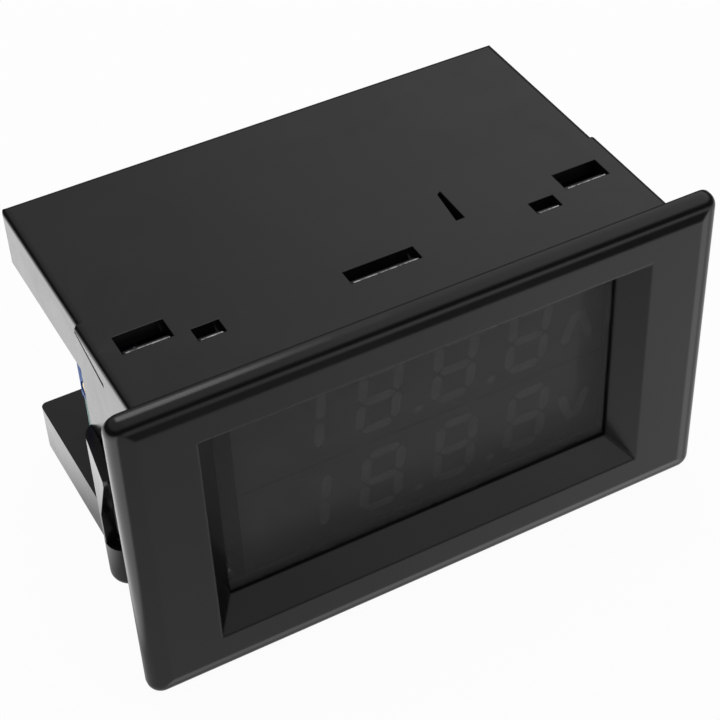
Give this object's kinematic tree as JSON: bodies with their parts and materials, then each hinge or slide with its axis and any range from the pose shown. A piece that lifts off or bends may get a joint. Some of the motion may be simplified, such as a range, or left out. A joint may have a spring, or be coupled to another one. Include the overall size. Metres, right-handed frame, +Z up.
{
  "type": "digital panel meter",
  "caption": "Snap-in digital panel meter: a black box case with a bevelled window over a two-row numeric display, sprung side clips and rear screw terminals.",
  "frame": {"origin": "centre of the panel cut-out, in the plane where the back of the bezel meets the front of the panel", "axes": "+X to the right along the bezel's width as seen from the front, +Y from the panel into the case, +Z up"},
  "size_m": [0.079, 0.0459, 0.0458],
  "materials": {
    "bezel_plastic": "semi-gloss moulded black",
    "case_plastic": "semi-gloss moulded black, a little duller than the bezel",
    "clip_plastic": "semi-gloss moulded black",
    "smoked_filter": "clear smoked sheet",
    "display_face": "matt grey-black ink",
    "segment_resin": "milky unlit resin",
    "circuit_board": "pale teal laminate edge under green solder mask",
    "chip_resin": "matt moulded resin",
    "black_resin": "matt moulded resin",
    "gold_pin": "flash gold plating",
    "white_nylon": "satin nylon",
    "plated_steel": "zinc plated",
    "plated_clamp": "zinc plated, passivated",
    "trimmer_resin": "gloss blue moulded resin",
    "brass_screw": "bright turned brass",
    "tinned_metal": "bright tin plating",
    "terminal_plastic": "matt moulded green",
    "capacitor_yellow": "gloss film box",
    "capacitor_sleeve": "shrunk vinyl sleeve",
    "varistor_lacquer": "dipped lacquer",
    "resistor_lacquer": "dipped lacquer"
  },
  "bodies": {
    "case": {"front_bezel": "bezel_plastic", "display_filter": "smoked_filter", "housing": "case_plastic", "upper_display": "display_face", "lower_display": "display_face", "upper_segments": "segment_resin", "lower_segments": "segment_resin", "display_board": "circuit_board", "driver_chip": "chip_resin", "main_board": "circuit_board", "board_header": "black_resin", "header_pins": "gold_pin", "board_spacers": "white_nylon", "board_screws": "plated_steel", "left_trimmer": "trimmer_resin", "right_trimmer": "trimmer_resin", "trimmer_leads": "tinned_metal", "terminal_block": "terminal_plastic", "terminal_contacts": "tinned_metal", "film_capacitor": "capacitor_yellow", "supply_capacitors": "capacitor_sleeve", "varistor": "varistor_lacquer", "bridge_rectifier": "chip_resin", "converter_chip": "chip_resin", "resistors": "resistor_lacquer"},
    "left_clip": {"left_clip": "clip_plastic"},
    "left_trimmer_screw": {"left_trimmer_screw": "brass_screw"},
    "right_clip": {"right_clip": "clip_plastic"},
    "right_trimmer_screw": {"right_trimmer_screw": "brass_screw"},
    "terminal_screw_1": {"terminal_screw_1": "plated_steel"},
    "terminal_screw_2": {"terminal_screw_2": "plated_steel"},
    "terminal_screw_3": {"terminal_screw_3": "plated_steel"},
    "terminal_screw_4": {"terminal_screw_4": "plated_steel"},
    "wire_clamp_1": {"wire_clamp_1": "plated_clamp"},
    "wire_clamp_2": {"wire_clamp_2": "plated_clamp"},
    "wire_clamp_3": {"wire_clamp_3": "plated_clamp"},
    "wire_clamp_4": {"wire_clamp_4": "plated_clamp"}
  },
  "joints": [
    {"name": "left_clip_flex", "type": "hinge", "parent": "case", "child": "left_clip", "pos_m": [-0.0342, 0.0161, -0.004], "axis": [0, 0, 1], "range_deg": [0, 6], "stiffness_Nm_per_rad": 1},
    {"name": "right_clip_flex", "type": "hinge", "parent": "case", "child": "right_clip", "pos_m": [0.0342, 0.0161, -0.004], "axis": [0, 0, -1], "range_deg": [0, 6], "stiffness_Nm_per_rad": 1},
    {"name": "left_trimmer_turn", "type": "hinge", "parent": "case", "child": "left_trimmer_screw", "pos_m": [-0.033, 0.02165, 0.007], "axis": [-1, 0, 0], "continuous": true},
    {"name": "right_trimmer_turn", "type": "hinge", "parent": "case", "child": "right_trimmer_screw", "pos_m": [0.033, 0.02165, 0.007], "axis": [1, 0, 0], "continuous": true},
    {"name": "wire_clamp_1_lift", "type": "slide", "parent": "case", "child": "wire_clamp_1", "axis": [0, 1, 0], "range_m": [0, 0.00135]},
    {"name": "terminal_screw_1_turn", "type": "hinge", "parent": "case", "child": "terminal_screw_1", "pos_m": [-0.01143, 0.0332, 0.00455], "axis": [0, -1, 0], "range_deg": [0, 1080]},
    {"name": "wire_clamp_2_lift", "type": "slide", "parent": "case", "child": "wire_clamp_2", "axis": [0, 1, 0], "range_m": [0, 0.00135]},
    {"name": "terminal_screw_2_turn", "type": "hinge", "parent": "case", "child": "terminal_screw_2", "pos_m": [-0.00381, 0.0332, 0.00455], "axis": [0, -1, 0], "range_deg": [0, 1080]},
    {"name": "wire_clamp_3_lift", "type": "slide", "parent": "case", "child": "wire_clamp_3", "axis": [0, 1, 0], "range_m": [0, 0.00135]},
    {"name": "terminal_screw_3_turn", "type": "hinge", "parent": "case", "child": "terminal_screw_3", "pos_m": [0.00381, 0.0332, 0.00455], "axis": [0, -1, 0], "range_deg": [0, 1080]},
    {"name": "wire_clamp_4_lift", "type": "slide", "parent": "case", "child": "wire_clamp_4", "axis": [0, 1, 0], "range_m": [0, 0.00135]},
    {"name": "terminal_screw_4_turn", "type": "hinge", "parent": "case", "child": "terminal_screw_4", "pos_m": [0.01143, 0.0332, 0.00455], "axis": [0, -1, 0], "range_deg": [0, 1080]}
  ],
  "couplings": [
    {"joint": "terminal_screw_1_turn", "follows": "wire_clamp_1_lift", "rad_per_m": 13963},
    {"joint": "terminal_screw_2_turn", "follows": "wire_clamp_2_lift", "rad_per_m": 13963},
    {"joint": "terminal_screw_3_turn", "follows": "wire_clamp_3_lift", "rad_per_m": 13963},
    {"joint": "terminal_screw_4_turn", "follows": "wire_clamp_4_lift", "rad_per_m": 13963}
  ]
}
